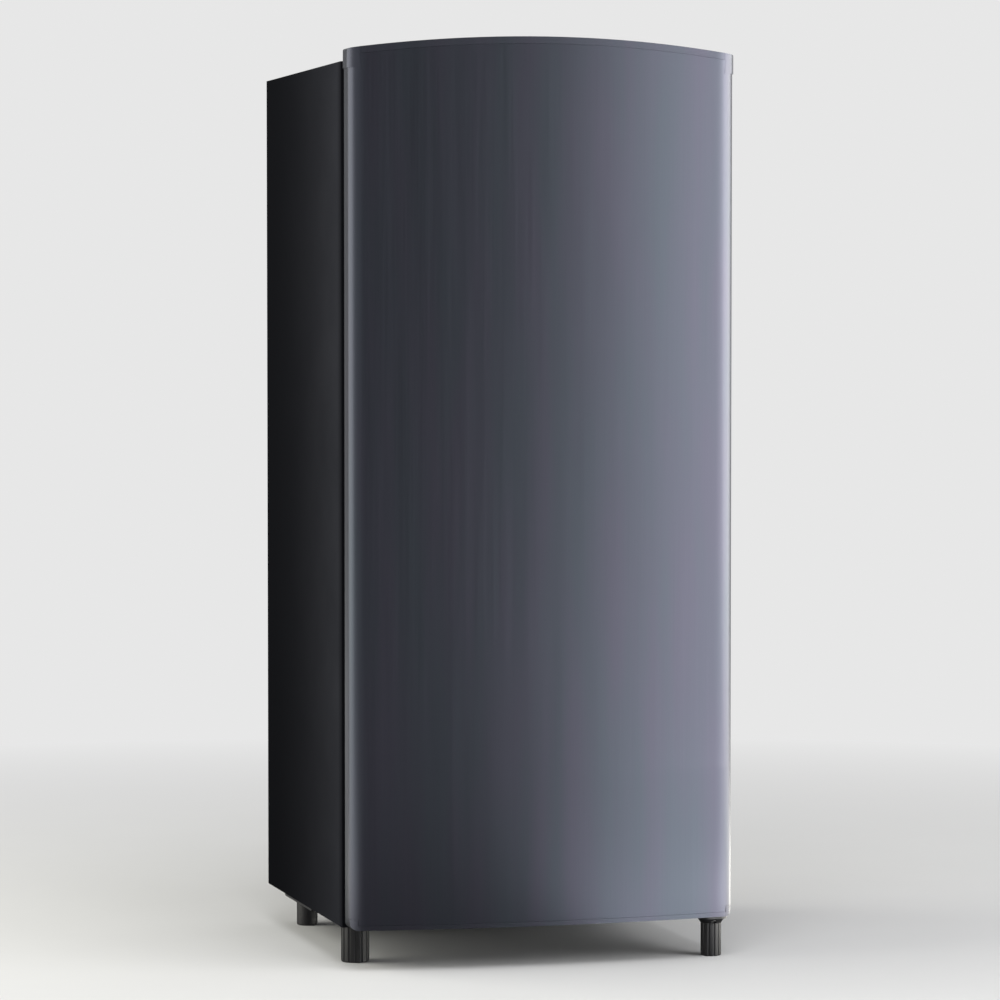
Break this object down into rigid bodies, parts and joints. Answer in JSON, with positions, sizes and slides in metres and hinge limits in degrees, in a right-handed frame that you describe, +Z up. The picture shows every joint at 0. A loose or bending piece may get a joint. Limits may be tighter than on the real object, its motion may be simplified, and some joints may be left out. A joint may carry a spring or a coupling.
{
  "type": "single door refrigerator",
  "caption": "Upright single door refrigerator with a bowed, arch-topped door, inner freezer box, glass shelves, vegetable drawer, door racks and a wire condenser.",
  "frame": {"origin": "on the floor, under the middle of the whole outline", "axes": "the door faces -Y, +X is to the right of someone who stands in front of it, +Z is up"},
  "size_m": [0.522, 0.542, 1.2068],
  "materials": {
    "cabinet_paint": "satin",
    "door_finish": "brushed metallic lacquer",
    "cap_plastic": "metallic satin",
    "galvanised_steel": "zinc coated",
    "bracket_steel": "satin",
    "bright_steel": "zinc plated",
    "insulating_foam": "foamed in place",
    "white_plastic": "smooth",
    "evaporator_metal": "satin",
    "shelf_glass": "clear",
    "clear_plastic": "clear",
    "bulb_glass": "frosted",
    "black_plastic": "moulded",
    "grey_plastic": "moulded",
    "gasket_rubber": "soft",
    "black_rubber": "soft",
    "black_paint": "gloss",
    "motor_iron": "cast",
    "copper": "drawn"
  },
  "bodies": {
    "cabinet": {"side_panel_left": "cabinet_paint", "side_panel_right": "cabinet_paint", "top_panel": "cabinet_paint", "back_panel": "galvanised_steel", "base_panel": "galvanised_steel", "front_rail": "bracket_steel", "side_rails": "galvanised_steel", "cabinet_foam": "insulating_foam", "inner_liner": "white_plastic", "evaporator": "evaporator_metal", "evaporator_hangers": "white_plastic", "freezer_frame": "white_plastic", "shelf_upper": "shelf_glass", "shelf_lower": "shelf_glass", "crisper_cover": "shelf_glass", "shelf_trims": "white_plastic", "control_housing": "white_plastic", "thermostat": "black_plastic", "lamp": "bulb_glass", "lamp_cover": "clear_plastic", "compressor_shell": "black_paint", "compressor_motor": "motor_iron", "compressor_grommets": "black_rubber", "compressor_bolts": "bright_steel", "compressor_carrier": "bracket_steel", "relay_box": "black_plastic", "cord_gland": "black_plastic", "water_tray": "black_plastic", "drain_tube": "white_plastic", "suction_line": "copper", "discharge_line": "copper", "condenser_tube": "black_paint", "condenser_wires": "black_paint", "condenser_brackets": "black_paint", "filter_drier": "copper", "rear_feet": "black_plastic", "top_hinge": "bracket_steel", "hinge_cover": "black_plastic", "lower_hinge": "bracket_steel", "hinge_pins": "bright_steel", "cabinet_screws": "bright_steel"},
    "door": {"door_skin": "door_finish", "door_foam": "insulating_foam", "door_liner": "white_plastic", "door_top_cap": "cap_plastic", "door_bottom_cap": "cap_plastic", "door_bushes": "grey_plastic", "door_gasket": "gasket_rubber", "door_rack_upper": "clear_plastic", "door_rack_middle": "clear_plastic", "door_rack_bottle": "clear_plastic"},
    "left_insert": {"left_foot_insert": "bright_steel"},
    "left_foot": {"left_foot_knob": "black_plastic"},
    "right_insert": {"right_foot_insert": "bright_steel"},
    "right_foot": {"right_foot_knob": "black_plastic"},
    "dial": {"thermostat_knob": "grey_plastic"},
    "switch": {"switch_plunger": "white_plastic"},
    "flap": {"freezer_flap": "clear_plastic"},
    "tray": {"chiller_tray": "clear_plastic"},
    "drawer": {"crisper_drawer": "clear_plastic"}
  },
  "joints": [
    {"name": "door_hinge", "type": "hinge", "parent": "cabinet", "child": "door", "pos_m": [0.2395, -0.2275, 0.6], "axis": [0, 0, 1], "range_deg": [0, 115]},
    {"name": "switch_slide", "type": "slide", "parent": "cabinet", "child": "switch", "axis": [0, -1, 0], "range_m": [0, 0.006]},
    {"name": "dial_turn", "type": "hinge", "parent": "cabinet", "child": "dial", "pos_m": [0.1825, 0.03, 0.832], "axis": [1, 0, 0], "range_deg": [0, 270]},
    {"name": "flap_hinge", "type": "hinge", "parent": "cabinet", "child": "flap", "pos_m": [0, -0.087, 1.1044], "axis": [-1, 0, 0], "range_deg": [0, 75]},
    {"name": "tray_slide", "type": "slide", "parent": "cabinet", "child": "tray", "axis": [0, -1, 0], "range_m": [0, 0.06]},
    {"name": "drawer_slide", "type": "slide", "parent": "cabinet", "child": "drawer", "axis": [0, -1, 0], "range_m": [0, 0.018]},
    {"name": "left_foot_slide", "type": "slide", "parent": "cabinet", "child": "left_insert", "axis": [0, 0, -1], "range_m": [0, 0.01]},
    {"name": "left_foot_turn", "type": "hinge", "parent": "left_insert", "child": "left_foot", "pos_m": [-0.2272, -0.1405, 0.02], "axis": [0, 0, -1], "range_deg": [0, 2880]},
    {"name": "right_foot_slide", "type": "slide", "parent": "cabinet", "child": "right_insert", "axis": [0, 0, -1], "range_m": [0, 0.01]},
    {"name": "right_foot_turn", "type": "hinge", "parent": "right_insert", "child": "right_foot", "pos_m": [0.2403, -0.2147, 0.02], "axis": [0, 0, -1], "range_deg": [0, 2880]}
  ],
  "couplings": [
    {"joint": "switch_slide", "follows": "door_hinge", "m_per_rad": 0.0029893},
    {"joint": "left_foot_slide", "follows": "left_foot_turn", "m_per_rad": 0.00019894},
    {"joint": "right_foot_slide", "follows": "right_foot_turn", "m_per_rad": 0.00019894}
  ]
}
